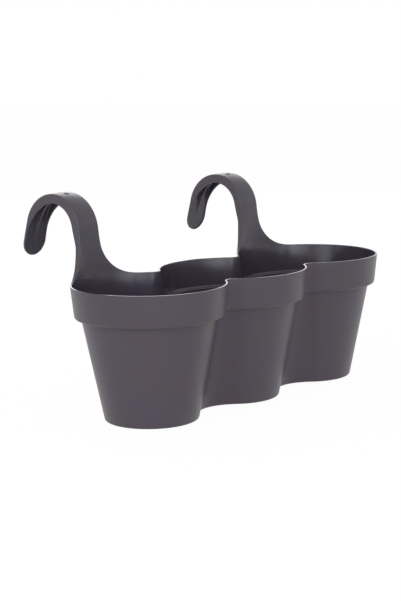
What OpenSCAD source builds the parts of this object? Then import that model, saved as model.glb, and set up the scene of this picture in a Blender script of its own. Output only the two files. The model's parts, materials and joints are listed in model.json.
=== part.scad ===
// Balcony planter: three round tapered pots run together into one open trough,
// under a wide collar that carries two hooks for a balcony railing.
// X runs along the row of pots, the hooks stand at +Y and the base lies at Z = 0.

/* [Pots] */
// Outer radius of each round pot at the rim
rim_r = 86; // [84:1:96]
// Distance between the centres of neighbouring pots
pitch = 144; // [130:1:150]
// Height of the rim above the base
pot_h = 150.5; // [130:0.5:180]
// Outer radius of each pot just under the collar
shoulder_r = 74.5; // [68:0.5:77]
// Outer radius of each pot at the base, before its edge is rounded
base_r = 53; // [48:1:60]
// Thickness of the moulded walls
wall = 2.2; // [1.6:0.1:3]
// Thickness of the floor
floor_t = 3; // [2:0.5:5]
// Radius of the hollow fillet where two neighbouring rims run together
waist_r = 10; // [6:1:20]
// Rounding of the edge round the base
base_edge_r = 3; // [1:0.5:5]

/* [Collar] */
// Height of the collar from its lower edge to the rim
collar_h = 36; // [26:1:46]
// Outer radius of the collar at its lower edge, before that edge is rounded
collar_r = 82; // [81:0.5:84]
// Rounding of the collar's lower edge
collar_edge_r = 3; // [1:0.5:4]
// Bevel of the rim's two top edges
lip_bevel = 0.5; // [0.2:0.1:0.7]

/* [Hooks] */
// Height of the hooks' crests above the rim
crest_h = 92.7; // [80:0.1:110]
// Outer radius of the round crest
crest_r = 43; // [38:0.5:45]
// How far the middle of the crest stands out behind the rim
crest_out = 45.5; // [43:0.1:52]
// Width of the arm at the crest
crest_w = 30; // [26:1:32]
// Width of the arm at its foot and across its tip
arm_w = 33; // [32:1:38]
// Thickness of the arm's outer skin
skin_t = 3; // [2:0.5:4]
// Depth of the arm at the crest, over the skin and the side flanges
crest_depth = 11.2; // [9:0.1:13]
// Thickness of the side flanges
flange_t = 2.6; // [1.8:0.1:4]
// Radius of the flare that spreads the foot along the rim
flare_r = 40; // [28:1:44]
// Height of the tip's lowest point above the rim
tip_h = 18.5; // [10:0.5:26]
// Angle by which the tip leans away from upright
tip_lean = 14; // [10:0.5:20]
// Thickness of the flat tip
tip_t = 3.6; // [3.2:0.1:4.4]
// Thickness of the rib inside the channel
rib_t = 2.4; // [1.6:0.1:4]
// How far the rib's edge lies back from the flanges' edges
rib_recess = 3; // [2:0.5:4]
// Radius of the fixing hole through the crest
fixing_hole_r = 3; // [2:0.25:4]
// Distance of the fixing hole from the middle of the crest, towards the pots
fixing_hole_offset = 8.6; // [4:0.1:12]

/* [Drain plugs] */
// Radius of the drain hole in each pot's floor
drain_hole_r = 7; // [5:0.5:9]
// Distance of the drain holes from the row's centre line, towards the hooks
drain_y = 24; // [20:1:28]
// Height of the raised ring round each drain hole, above the floor
drain_ring_h = 3; // [1:0.5:6]
// Thickness of that ring's wall
drain_ring_t = 2.5; // [1.5:0.5:4]
// Running clearance between a plug and its hole, on the radius
plug_clearance = 0.08; // [0.05:0.01:0.1]
// How far the plug's head reaches past its hole
plug_head_lap = 3; // [2:0.5:4]
// Thickness of the plug's head
plug_head_t = 2; // [1.5:0.5:3]
// Thickness of the plug's upright grip
plug_grip_t = 3; // [2:0.5:4]
// Height of the plug's grip above its head
plug_grip_h = 8; // [6:0.5:12]
// How far the plug's lower end stays above the base
plug_end_gap = 0.5; // [0.3:0.1:1]

/* [Hidden] */

// Fineness of every round surface
$fn = 96;
// Steps in each quarter of a rounded edge
edge_steps = 5;
// How far a cutting shape runs past what it cuts
overrun = 5;
// Places of the three pots along the row
pot_places = [-pitch, 0, pitch];
// Places of the two waists between the pots
waist_places = [-pitch / 2, pitch / 2];

// Height of the step under the collar
step_z = pot_h - collar_h;
// Inner radius of the rim
rim_in = rim_r - wall;
// Distance from a pot's centre to the centre of a waist's fillet
fillet_reach = rim_r + waist_r;
// Distance of the fillet centres from the row's centre line
fillet_y = sqrt(pow(fillet_reach, 2) - pow(pitch / 2, 2));

// How far a waist's fillet cuts into its pots, so that their faces cross cleanly
fillet_bite = 0.02;

// Height of the crests above the base
crest_z = pot_h + crest_h;
// Height of the crest's round centre
crest_axis_z = crest_z - crest_r;
// Distance from the row of pots to the middle of the crest
crest_y = rim_r + crest_out;
// Radius along the flanges' edges under the crest
inner_r = crest_r - crest_depth;
// Angle round the crest at which the flanges' edges leave it for the wider sweep to the tip
flange_leave = 75;
// Angle round the crest at which the rib's edge leaves it for its own sweep to the tip
rib_leave = 38;
// Height where the arm reaches its full width on the tip's side
tip_axis_z = pot_h + tip_h + arm_w / 2;
// Share of the flare's radius that its foot takes before it stops blunt
flare_share = 0.9;

// Height of a drain hole's upper mouth
drain_top_z = floor_t + drain_ring_h;
// Radius of a plug's shank
plug_r = drain_hole_r - plug_clearance;
// Radius of a plug's head
plug_head_r = drain_hole_r + plug_head_lap;
// Share of the head's width that its grip takes
grip_share = 0.7;

// Points of an arc of radius r about [x, y], from angle a to angle b
function arc(x, y, r, a, b) =
    [for (i = [0:edge_steps]) let (t = a + (b - a) * i / edge_steps) [x + r * cos(t), y + r * sin(t)]];

// Angle by which the pots' walls lean outwards
body_draft = atan((shoulder_r - base_r) / step_z);

// Outer profile of the trough as [radius, height], from its rounded base up to the step
trough_profile = concat(
    arc(base_r - base_edge_r, base_edge_r, base_edge_r, -90, -body_draft),
    [[shoulder_r, step_z]]);

// Profile of the space inside the trough, from the floor up past the step
trough_space = [
    [base_r - wall, floor_t],
    [shoulder_r - wall, step_z],
    [shoulder_r - wall, step_z + overrun]];

// Outer profile of the collar, from its rounded lower edge up to the bevelled rim
collar_profile = concat(
    arc(collar_r - collar_edge_r, step_z + collar_edge_r, collar_edge_r, -90, 0),
    [[rim_r, pot_h - lip_bevel], [rim_r - lip_bevel, pot_h]]);

// Profile of the space inside the collar, from under the step up to past the rim
collar_space = [
    [shoulder_r - wall, step_z - overrun],
    [shoulder_r - wall, step_z + wall],
    [collar_r - wall, step_z + wall],
    [rim_in, pot_h - lip_bevel],
    [rim_in + lip_bevel, pot_h],
    [rim_in + lip_bevel, pot_h + overrun]];

// Diamond in each waist, between two pots' centres and the centres of the waist's two fillets
module waist_diamonds(low, high) {
    for (x = waist_places)
        translate([x, 0, low])
            linear_extrude(high - low)
                polygon([[-pitch / 2, 0], [0, -fillet_y], [pitch / 2, 0], [0, fillet_y]]);
}

// Turned bodies that hollow the waists, so that each fillet runs smoothly into both of its pots
module waist_fillets(profile) {
    first = profile[0];
    last = profile[len(profile) - 1];
    reach = fillet_reach + fillet_bite;
    for (x = waist_places, side = [-1, 1])
        translate([x, side * fillet_y, 0])
            rotate_extrude()
                polygon(concat(
                    [[0, first[1] - overrun], [reach - first[0], first[1] - overrun]],
                    [for (p = profile) [reach - p[0], p[1]]],
                    [[reach - last[0], last[1] + overrun], [0, last[1] + overrun]]));
}

// Three pots run together, solid, under one profile
module pots(profile) {
    low = profile[0][1];
    high = profile[len(profile) - 1][1];
    difference() {
        union() {
            for (x = pot_places)
                translate([x, 0, 0])
                    rotate_extrude()
                        polygon(concat([[0, low]], profile, [[0, high]]));
            waist_diamonds(low, high);
        }
        waist_fillets(profile);
    }
}

module trough() {
    color([0.29, 0.27, 0.29])
        difference() {
            union() {
                difference() {
                    pots(trough_profile);
                    pots(trough_space);
                }
                for (x = pot_places)
                    translate([x, drain_y, floor_t / 2])
                        cylinder(h = drain_top_z - floor_t / 2, r = drain_hole_r + drain_ring_t);
            }
            for (x = pot_places)
                translate([x, drain_y, -overrun])
                    cylinder(h = drain_top_z + 2 * overrun, r = drain_hole_r);
        }
}

module rim_collar() {
    color([0.31, 0.29, 0.31])
        difference() {
            pots(collar_profile);
            pots(collar_space);
        }
}

// Point on a circle round the crest's centre, as [y, z]
function on_crest(r, a) = [crest_y + r * cos(a), crest_axis_z + r * sin(a)];

// Where the tangent that leaves circle r at angle a passes height z
function tangent_y(r, a, z) = crest_y + (r - (z - crest_axis_z) * sin(a)) / cos(a);

// Angle at which the tangent from point p, on the rim, touches circle r on the pots' side
function touch_angle(p, r) =
    let (d = p - [crest_y, crest_axis_z])
    360 + atan2(d[1], d[0]) - acos(r / norm(d));

// Angles at which the arm's skin and its flanges' edges rise from the rim into the crest
skin_angle = touch_angle([rim_in, pot_h], crest_r);
flange_angle = touch_angle([rim_r, pot_h], inner_r);

// Side view of all that lies under the arm's skin, drawn in by inset
module skin_side(inset) {
    r = crest_r - inset;
    low = pot_h - overrun;
    translate([crest_y, crest_axis_z])
        circle(r);
    polygon([
        [tangent_y(r, skin_angle, low), low],
        on_crest(r, skin_angle),
        on_crest(r, tip_lean),
        [tangent_y(r, tip_lean, low), low]]);
}

// Side view of the open space under the flanges' edges, widened by recess. At angle leave its edge
// passes from the crest's circle to a wider sweep, which runs out on the flat tip.
module open_side(recess, leave) {
    r = inner_r + recess;
    low = pot_h - 2 * overrun;
    shift = (crest_r - tip_t - r) / (1 - cos(leave - tip_lean));
    sweep_r = r + shift;
    sweep = on_crest(-shift, leave);
    translate([crest_y, crest_axis_z])
        circle(r);
    intersection() {
        translate(sweep)
            circle(sweep_r);
        polygon(concat(
            [sweep],
            [for (a = [leave, (leave + tip_lean) / 2, tip_lean])
                sweep + 2 * sweep_r * [cos(a), sin(a)]]));
    }
    polygon([
        [tangent_y(r, flange_angle, low), low],
        on_crest(r, flange_angle),
        on_crest(r, leave),
        sweep + sweep_r * [cos(tip_lean), sin(tip_lean)],
        [tangent_y(crest_r - tip_t, tip_lean, low), low]]);
}

// Front view of the arm above its tip, drawn in by inset
module taper_front(inset) {
    polygon([
        [-arm_w / 2 + inset, tip_axis_z],
        [-crest_w / 2 + inset, crest_z + overrun],
        [crest_w / 2 - inset, crest_z + overrun],
        [arm_w / 2 - inset, tip_axis_z]]);
}

// Front view of the half of the arm that rises from the rim
module rising_front(inset) {
    taper_front(inset);
    translate([-arm_w / 2 + inset, pot_h])
        square([arm_w - 2 * inset, tip_axis_z - pot_h]);
}

// Front view of the half of the arm that ends in the round tip
module tip_front(inset) {
    taper_front(inset);
    translate([0, tip_axis_z])
        circle(arm_w / 2 - inset);
}

// Front view of the foot, spread along the rim by two round flares
module foot_front(inset) {
    half = arm_w / 2 + flare_r * flare_share - inset;
    difference() {
        translate([-half, pot_h])
            square([2 * half, flare_r]);
        for (side = [-1, 1])
            translate([side * (arm_w / 2 + flare_r), pot_h + flare_r])
                circle(flare_r + inset);
    }
}

// Stands a front view upright and gives it depth along Y, from y1 to y2
module deep(y1, y2) {
    translate([0, y2, 0])
        rotate([90, 0, 0])
            linear_extrude(y2 - y1)
                children();
}

// Stands a side view upright and gives it width w along X, centred on X = 0
module wide(w) {
    rotate([90, 0, 90])
        translate([0, 0, -w / 2])
            linear_extrude(w)
                children();
}

// Both halves of the arm's front view, from the rim's side to past the tip
module arm_front(inset) {
    deep(0, crest_y)
        rising_front(inset);
    deep(crest_y, crest_y + 2 * crest_r)
        tip_front(inset);
}

// Arm with its full depth, before its channel is cut
module arm_blank() {
    intersection() {
        wide(2 * arm_w)
            difference() {
                skin_side(0);
                open_side(0, flange_leave);
            }
        arm_front(0);
    }
}

// Channel along the arm's inner side, between its flanges
module arm_channel() {
    intersection() {
        wide(2 * arm_w)
            skin_side(skin_t);
        arm_front(flange_t);
    }
}

// Rib along the middle of the channel, from the crest down to the flat tip
module arm_rib() {
    intersection() {
        wide(rib_t)
            difference() {
                skin_side(skin_t / 2);
                open_side(rib_recess, rib_leave);
            }
        deep(crest_y, crest_y + 2 * crest_r)
            tip_front(flange_t);
    }
}

// Ring sector that carries the collar's wall upwards, of inner radius r1 and outer radius r2
// at the rim, with its faces leaning out by the slopes s1 and s2
module foot_ring(r1, s1, r2, s2) {
    rotate_extrude()
        polygon([
            [r1, pot_h],
            [r2, pot_h],
            [r2 + s2 * flare_r, pot_h + flare_r],
            [r1 + s1 * flare_r, pot_h + flare_r]]);
}

// Slope of the collar's wall, and of the flanges' edges behind it
collar_slope = (rim_r - collar_r) / (collar_h - collar_edge_r);
flange_slope = -tan(flange_angle - 180);

module foot_blank() {
    intersection() {
        foot_ring(rim_in, collar_slope, rim_r, flange_slope);
        deep(0, crest_y)
            foot_front(0);
    }
}

module foot_channel() {
    intersection() {
        foot_ring(rim_in + skin_t, collar_slope, rim_r + arm_w, flange_slope);
        deep(0, crest_y)
            foot_front(flange_t);
    }
}

// One hook, standing behind a pot whose centre is at X = 0
module hook() {
    color([0.31, 0.29, 0.31])
        difference() {
            union() {
                difference() {
                    union() {
                        arm_blank();
                        foot_blank();
                    }
                    arm_channel();
                    foot_channel();
                }
                arm_rib();
            }
            translate([0, crest_y - fixing_hole_offset, crest_axis_z])
                cylinder(h = crest_r + overrun, r = fixing_hole_r);
        }
}

module left_hook() {
    translate([-pitch, 0, 0])
        hook();
}

module right_hook() {
    translate([pitch, 0, 0])
        hook();
}

// One push-in plug, with its head seated on the ring round the drain hole of a pot at X = 0
module drain_plug() {
    color([0.12, 0.12, 0.13])
        translate([0, drain_y, 0]) {
            translate([0, 0, plug_end_gap])
                cylinder(h = drain_top_z - plug_end_gap + plug_head_t / 2, r = plug_r);
            translate([0, 0, drain_top_z])
                cylinder(h = plug_head_t, r = plug_head_r);
            translate([-plug_head_r * grip_share, -plug_grip_t / 2, drain_top_z])
                cube([2 * plug_head_r * grip_share, plug_grip_t, plug_head_t + plug_grip_h]);
        }
}

module left_drain_plug() {
    translate([-pitch, 0, 0])
        drain_plug();
}

module middle_drain_plug() {
    drain_plug();
}

module right_drain_plug() {
    translate([pitch, 0, 0])
        drain_plug();
}

trough();
rim_collar();
left_hook();
right_hook();
left_drain_plug();
middle_drain_plug();
right_drain_plug();
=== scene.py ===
# Balcony planter: three tapered pots run together into one trough, under a wide collar
# that carries two hooks for a railing. Sizes are in metres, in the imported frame's own axes:
# X runs along the pots, the hooks stand at +Y and the base lies at Z = 0.

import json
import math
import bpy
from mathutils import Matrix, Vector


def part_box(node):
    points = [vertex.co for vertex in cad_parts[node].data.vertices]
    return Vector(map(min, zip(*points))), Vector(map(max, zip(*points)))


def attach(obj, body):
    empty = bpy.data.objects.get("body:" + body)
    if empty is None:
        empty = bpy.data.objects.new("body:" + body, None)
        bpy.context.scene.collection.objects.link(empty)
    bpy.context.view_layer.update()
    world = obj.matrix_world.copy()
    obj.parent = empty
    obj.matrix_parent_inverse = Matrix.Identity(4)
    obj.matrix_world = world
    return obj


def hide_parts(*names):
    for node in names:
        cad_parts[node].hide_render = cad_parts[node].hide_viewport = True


bl_info = {
    "name": "Balcony planter",
    "version": (1, 0, 0),
    "blender": (4, 5, 0),
    "location": "3D View > Sidebar > Planter",
    "description": "Makes a balcony planter of three joined pots with railing hooks and drain plugs",
    "category": "Object",
}

import bmesh
import bpy
from bpy.props import FloatProperty, FloatVectorProperty, PointerProperty
from mathutils import Matrix, Vector

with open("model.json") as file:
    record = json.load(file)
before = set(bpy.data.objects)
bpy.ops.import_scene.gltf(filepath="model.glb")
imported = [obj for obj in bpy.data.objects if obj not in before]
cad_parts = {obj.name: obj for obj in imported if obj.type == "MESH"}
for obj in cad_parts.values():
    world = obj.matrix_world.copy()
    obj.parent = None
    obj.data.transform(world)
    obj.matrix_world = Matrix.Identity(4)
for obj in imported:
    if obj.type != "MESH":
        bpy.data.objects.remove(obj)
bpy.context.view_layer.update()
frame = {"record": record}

MM = 0.001

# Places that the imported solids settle
COLLAR_LOW, COLLAR_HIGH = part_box("rim_collar")
HOOK_LOW, HOOK_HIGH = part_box("right_hook")
PLUG_LOW, PLUG_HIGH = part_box("middle_drain_plug")
MOUNTS = {mount["name"]: mount for mount in frame["record"]["mounts"]}
PITCH = (HOOK_LOW.x + HOOK_HIGH.x) / 2
RIM_R = COLLAR_HIGH.x - PITCH
RIM_Z = COLLAR_HIGH.z
STEP_Z = COLLAR_LOW.z
CREST_Z = HOOK_HIGH.z
CREST_Y = MOUNTS["right_rail_seat"]["pos_m"][1]
FIXING_Y = MOUNTS["fixing_holes"]["pos_m"][1]
FIXING_R = MOUNTS["fixing_holes"]["dims"]["hole_r_mm"] * MM
DRAIN_Y = (PLUG_LOW.y + PLUG_HIGH.y) / 2
PLUG_HEAD_R = (PLUG_HIGH.x - PLUG_LOW.x) / 2
PLACES = {"left": -PITCH, "middle": 0.0, "right": PITCH}

# Stations along the three kinds of arc in the plan outline, about 2 degrees apart on the pots
END_STATIONS = 140
SIDE_STATIONS = 50
WAIST_STATIONS = 21
# Two points nearer than this are one point
WELD = 0.002 * MM
# Faces that meet at more than this angle keep a sharp edge between them
CREASE = math.radians(38)


def parts(code):
    """The sRGB colour written #rrggbb, as three parts of 1"""
    return tuple(int(code[i:i + 2], 16) / 255 for i in (1, 3, 5))


def length(name, size, description):
    """A property that holds a length, its default given in millimetres"""
    return FloatProperty(name=name, description=description, default=size * MM, unit="LENGTH")


def colour(name, code, description):
    """A property that holds an sRGB colour"""
    return FloatVectorProperty(name=name, description=description, default=parts(code), size=3,
                               subtype="COLOR_GAMMA", min=0, max=1)


def gloss(name, roughness, description):
    """A property that holds a roughness"""
    return FloatProperty(name=name, description=description, default=roughness, min=0, max=1,
                         subtype="FACTOR")


class PlanterSizes(bpy.types.PropertyGroup):
    """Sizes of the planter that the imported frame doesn't settle by itself"""
    wall: length("Wall", 2.2, "Thickness of the moulded walls")
    floor: length("Floor", 3.0, "Thickness of the floor")
    shoulder: length("Shoulder radius", 75.0, "Radius of each pot under the collar")
    step_fillet: length("Step fillet", 1.2, "Hollow fillet under the collar")
    base_radius: length("Base radius", 52.5, "Radius of each pot at its base")
    base_edge: length("Base edge", 3.0, "Rounding of the edge round the base")
    waist: length("Waist fillet", 10.0, "Hollow fillet between two rims")
    collar_radius: length("Collar radius", 82.5, "Radius at the collar's lower edge")
    collar_edge: length("Collar edge", 3.0, "Rounding of the collar's lower edge")
    lip_inner: length("Lip inside", 0.6, "Rounding of the lip towards the pots")
    lip_outer: length("Lip outside", 0.5, "Rounding of the lip on the outside")
    crest_radius: length("Crest radius", 43.0, "Outer radius of a hook's crest")
    crest_width: length("Crest width", 30.0, "Width of the arm at its crest")
    crest_depth: length("Crest depth", 11.2, "Depth of the arm at its crest")
    arm_width: length("Arm width", 33.0, "Width of the arm at its foot and tip")
    skin: length("Skin", 3.0, "Thickness of the arm's outer skin")
    flange: length("Flange", 2.6, "Thickness of the arm's side flanges")
    flare: length("Flare", 38.0, "Radius that spreads the foot along the rim")
    tip_height: length("Tip height", 18.5, "Height of the tip above the rim")
    tip_lean: FloatProperty(name="Tip lean", description="Angle of the tip from upright",
                            default=math.radians(14), subtype="ANGLE")
    tip_plate: length("Tip plate", 3.6, "Thickness of the flat tip at its edge")
    rib: length("Rib", 2.4, "Thickness of the rib in the channel")
    rib_recess: length("Rib recess", 3.0, "Step from the flanges' edges to the rib")
    drain_radius: length("Drain radius", 7.0, "Radius of each drain hole")
    drain_ring: length("Drain ring", 2.5, "Wall of the ring round a drain hole")
    drain_rise: length("Drain rise", 3.0, "Height of the ring above the floor")
    plug_head: length("Plug head", 2.0, "Thickness of a plug's head")
    plug_fit: length("Plug fit", 0.08, "Clearance of a plug in its hole")
    plug_grip: length("Plug grip", 3.0, "Thickness of a plug's grip")


class PlanterFinish(bpy.types.PropertyGroup):
    """Colours and gloss of the planter, its colours kept as sRGB"""
    outside: colour("Outside", "#4A424C", "Colour of the textured outer faces")
    # The inside colour is darker than the outside though the plastic is the same: it is painted shade
    # on the inner faces.
    inside: colour("Inside", "#433D49", "Colour of the smoother inner faces")
    rubber: colour("Plugs", "#242426", "Colour of the drain plugs")
    outside_roughness: gloss("Outside roughness", 0.40, "Roughness of the textured outer faces")
    inside_roughness: gloss("Inside roughness", 0.14, "Roughness of the smoother inner faces")


def add(tree, kind, settings=None, inputs=None):
    """Adds a node with its settings, and gives each input a value or what feeds it.

    What feeds it is a socket, a node, of which the first output is taken, or a list of these."""
    node = tree.nodes.new(kind)
    for name, value in (settings or {}).items():
        setattr(node, name, value)
    for key, value in (inputs or {}).items():
        for given in value if isinstance(value, list) else [value]:
            if isinstance(given, bpy.types.Node):
                given = given.outputs[0]
            if isinstance(given, bpy.types.NodeSocket):
                tree.links.new(given, node.inputs[key])
            else:
                node.inputs[key].default_value = given
    return node


def linear(srgb):
    """Turns an sRGB colour, as three parts of 1 or a hex string, to linear RGBA"""
    if isinstance(srgb, str):
        srgb = parts(srgb)
    return (*(c / 12.92 if c <= 0.04045 else ((c + 0.055) / 1.055) ** 2.4 for c in srgb), 1.0)


def tint(srgb, factors):
    """The same sRGB colour with its three parts changed by factors"""
    return [min(1.0, c * factor) for c, factor in zip(srgb, factors)]


def emptied(owner):
    """Node tree of a material or world, without its first nodes"""
    owner.use_nodes = True
    owner.node_tree.nodes.clear()
    return owner.node_tree


def dress(tree, share, tones, roughness, ior, relief):
    """Ends a material: two sRGB tones mixed by a share, on a surface with a relief.

    The relief is its strength, its depth and the node of its height."""
    strength, depth, height = relief
    tone = add(tree, "ShaderNodeMix", {"data_type": "RGBA"},
               {0: share, 6: linear(tones[0]), 7: linear(tones[1])})
    bump = add(tree, "ShaderNodeBump", {},
               {"Strength": strength, "Distance": depth, "Height": height})
    shader = add(tree, "ShaderNodeBsdfPrincipled", {},
                 {"Base Color": tone.outputs[2], "Roughness": roughness, "IOR": ior, "Normal": bump})
    add(tree, "ShaderNodeOutputMaterial", {}, {"Surface": shader})


# Moulded plastic: size of the patches in which its colour drifts, width of its upright streaks
# and how far they are drawn out, and how much of the unevenness is streaks
DRIFT_SIZE = 38 * MM
STREAK_WIDTH = 7 * MM
STREAK_SCALE = (1.0, 1.0, 0.06)
STREAK_SHARE = 0.35
# Factors on the colour's three parts where it is most reddish and most bluish
REDDISH = (1.03, 1.0, 0.95)
BLUISH = (0.98, 1.0, 1.05)
# Factors between which the roughness varies
GLOSS_LEAST = 0.92
GLOSS_MOST = 1.1
PLASTIC_IOR = 1.49
# Heights between which the outside's roughness takes over from the inside's
GLOSS_LOW = RIM_Z - 4 * MM
GLOSS_HIGH = RIM_Z + 14 * MM
# Size and depth of the fine texture on each side of the moulding, and its strength. A real
# spark-eroded grain is a few tenths of a millimetre at most, and is drawn coarser so that it shows.
TEXTURES = {"outside": (0.7 * MM, 0.06 * MM), "inside": (1.1 * MM, 0.004 * MM)}
TEXTURE_STRENGTH = 0.25


def moulded_plastic(name, srgb, roughness, upper_roughness, texture):
    """Injection-moulded polypropylene, whose fine spark-eroded texture gives it a satin sheen.

    The colour drifts a little between a reddish and a bluish tone where the melt flowed, and in
    faint upright streaks. Above the rim every face has the upper roughness."""
    material = bpy.data.materials.new(name)
    tree = emptied(material)
    place = add(tree, "ShaderNodeTexCoord").outputs["Object"]
    drawn = add(tree, "ShaderNodeMapping", {}, {"Vector": place, "Scale": STREAK_SCALE})
    grain, depth = texture
    spots = [add(tree, "ShaderNodeTexNoise", {}, {"Vector": vector, "Scale": 1 / size,
                                                  "Detail": detail, "Roughness": spread})
             for vector, size, detail, spread in ((place, DRIFT_SIZE, 3.0, 0.55),
                                                  (drawn, STREAK_WIDTH, 2.0, 0.5),
                                                  (place, grain, 2.0, 0.6))]
    drift, streak, fine = spots
    mottle = add(tree, "ShaderNodeMix", {}, {0: STREAK_SHARE, 2: drift, 3: streak})
    share = add(tree, "ShaderNodeMapRange", {}, {"Value": mottle, "From Min": 0.35, "From Max": 0.65})
    uneven = add(tree, "ShaderNodeMapRange", {},
                 {"Value": mottle, "From Min": 0.3, "From Max": 0.7,
                  "To Min": GLOSS_LEAST, "To Max": GLOSS_MOST})
    height = add(tree, "ShaderNodeSeparateXYZ", {}, {0: place}).outputs[2]
    smooth = add(tree, "ShaderNodeMapRange", {"interpolation_type": "SMOOTHSTEP"},
                 {"Value": height, "From Min": GLOSS_LOW, "From Max": GLOSS_HIGH,
                  "To Min": roughness, "To Max": upper_roughness})
    rough = add(tree, "ShaderNodeMath", {"operation": "MULTIPLY"}, {0: smooth, 1: uneven})
    dress(tree, share, (tint(srgb, REDDISH), tint(srgb, BLUISH)), rough, PLASTIC_IOR,
          (TEXTURE_STRENGTH, depth, fine))
    return material


# Rubber of the plugs: size of its dusty patches, the darkest and lightest factors on its colour,
# and the size, depth and strength of its pores, which are drawn coarser than real ones to show
BLOOM_SIZE = 3 * MM
DARK = (0.8, 0.8, 0.8)
DUSTY = (1.35, 1.35, 1.35)
RUBBER_ROUGHNESS = 0.62
RUBBER_IOR = 1.5
PORE_SIZE = 0.4 * MM
PORE_DEPTH = 0.05 * MM
PORE_STRENGTH = 0.3


def soft_rubber(name, srgb):
    """Moulded thermoplastic rubber: near black, matt, with a dusty bloom in patches"""
    material = bpy.data.materials.new(name)
    tree = emptied(material)
    place = add(tree, "ShaderNodeTexCoord").outputs["Object"]
    bloom = add(tree, "ShaderNodeTexNoise", {},
                {"Vector": place, "Scale": 1 / BLOOM_SIZE, "Detail": 4.0, "Roughness": 0.65})
    pores = add(tree, "ShaderNodeTexNoise", {},
                {"Vector": place, "Scale": 1 / PORE_SIZE, "Detail": 2.0})
    dress(tree, bloom, (tint(srgb, DARK), tint(srgb, DUSTY)), RUBBER_ROUGHNESS, RUBBER_IOR,
          (PORE_STRENGTH, PORE_DEPTH, pores))
    return material


def finish(key):
    """The finish called outside, inside or rubber, made once. The inside finish is the same plastic as
    the outside with a darker colour, which is painted shade.
    """
    name = {"outside": "Satin anthracite polypropylene, textured",
            "inside": "Anthracite polypropylene, smooth core side",
            "rubber": "Black thermoplastic rubber"}[key]
    found = bpy.data.materials.get(name)
    if found:
        return found
    chosen = bpy.context.scene.planter_finish
    if key == "rubber":
        return soft_rubber(name, chosen.rubber)
    roughness = chosen.outside_roughness if key == "outside" else chosen.inside_roughness
    return moulded_plastic(name, getattr(chosen, key), roughness, chosen.outside_roughness,
                           TEXTURES[key])


def rounded(corners, closed=True, steps=5, support=0.4 * MM):
    """Points of an outline with its corners turned by arcs.

    A corner is (x, y, radius, inner), and its points come back as (x, y, inner). One more point
    stands a little before and after each arc, so that the flat stretches shade flat."""
    count = len(corners)
    spots = [Vector(corner[:2]) for corner in corners]
    turns = []
    for i, corner in enumerate(corners):
        ahead = spots[(i + 1) % count] - spots[i]
        back = spots[i - 1] - spots[i]
        ends = not closed and i in (0, count - 1)
        half = 0.0 if ends or corner[2] == 0 else back.angle(ahead) / 2
        turns.append((half, corner[2] / math.tan(half) if half else 0.0))
    points = []
    for i, corner in enumerate(corners):
        half, reach = turns[i]
        if not half:
            points.append((*spots[i], corner[3]))
            continue
        back = spots[i - 1] - spots[i]
        ahead = spots[(i + 1) % count] - spots[i]
        room_back = (back.length - reach - turns[i - 1][1]) / 3
        room_ahead = (ahead.length - reach - turns[(i + 1) % count][1]) / 3
        back.normalize()
        ahead.normalize()
        middle = spots[i] + (back + ahead).normalized() * corner[2] / math.sin(half)
        first = spots[i] + back * reach - middle
        side = math.copysign(1.0, ahead.cross(back))
        points.append((*(spots[i] + back * (reach + min(support, room_back))), corner[3]))
        for j in range(steps + 1):
            turn = Matrix.Rotation(side * (math.pi - 2 * half) * j / steps, 2)
            points.append((*(middle + turn @ first), corner[3]))
        points.append((*(spots[i] + ahead * (reach + min(support, room_ahead))), corner[3]))
    return points


def planter_sizes():
    """The sizes that the sidebar panel shows"""
    return bpy.context.scene.planter_sizes


# Radius, in each pot, inside which the floor is closed by a flat face
FLOOR_CAP_R = 38 * MM
# Inner fillet between the floor and the walls
FLOOR_FILLET = 3 * MM
# The base stands on a ring of this width, round a hollow of this depth, with edges this round
BASE_RING = 7 * MM
BASE_RECESS = 0.8 * MM
BASE_RING_EDGE = 0.4 * MM
# Roundings of the ledge inside the collar: hollow against its wall, and round over the pots
LEDGE_FILLET = 1.5 * MM
LEDGE_EDGE = 1.0 * MM


def trough_section(s):
    """Half section of the trough as (radius, height, inner), from under the floor round to its top"""
    lean = math.atan((s.shoulder - s.base_radius) / STEP_Z)
    half_turn = math.tan((math.pi / 2 - lean) / 2)
    base_corner = s.base_radius - s.base_edge + s.base_edge * half_turn
    ring_in = s.base_radius - BASE_RING
    return rounded([
        (FLOOR_CAP_R, BASE_RECESS, 0, 0),
        (ring_in, BASE_RECESS, BASE_RING_EDGE, 0),
        (ring_in + BASE_RECESS, 0, BASE_RING_EDGE, 0),
        (base_corner, 0, s.base_edge, 0),
        (s.shoulder, STEP_Z, s.step_fillet, 0),
        (s.shoulder + s.step_fillet * half_turn, STEP_Z, 0, 0),
        (s.shoulder - s.wall, STEP_Z, 0, 1),
        (s.base_radius - s.wall, s.floor, FLOOR_FILLET, 1),
        (FLOOR_CAP_R, s.floor, 0, 1)], closed=False)


def collar_section(s):
    """Closed section of the collar as (radius, height, inner)"""
    height = RIM_Z - STEP_Z
    slope = (RIM_R - s.collar_radius) / (height - s.collar_edge)
    ledge = STEP_Z + s.wall
    return rounded([
        (s.shoulder - s.wall, STEP_Z, 0, 1),
        (s.shoulder, STEP_Z, 0, 0),
        (RIM_R - slope * height, STEP_Z, s.collar_edge, 0),
        (RIM_R, RIM_Z, s.lip_outer, 1),
        (RIM_R - s.wall, RIM_Z, s.lip_inner, 1),
        (RIM_R - s.wall - slope * (RIM_Z - ledge), ledge, LEDGE_FILLET, 1),
        (s.shoulder - s.wall, ledge, LEDGE_EDGE, 1)])


# Values that the points of a wall carry while it is made, each with its kind
CARRIED = {"outward": "FLOAT_VECTOR", "station": "FLOAT_VECTOR", "offset": "FLOAT",
           "height": "FLOAT", "inner": "BOOLEAN"}


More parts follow.
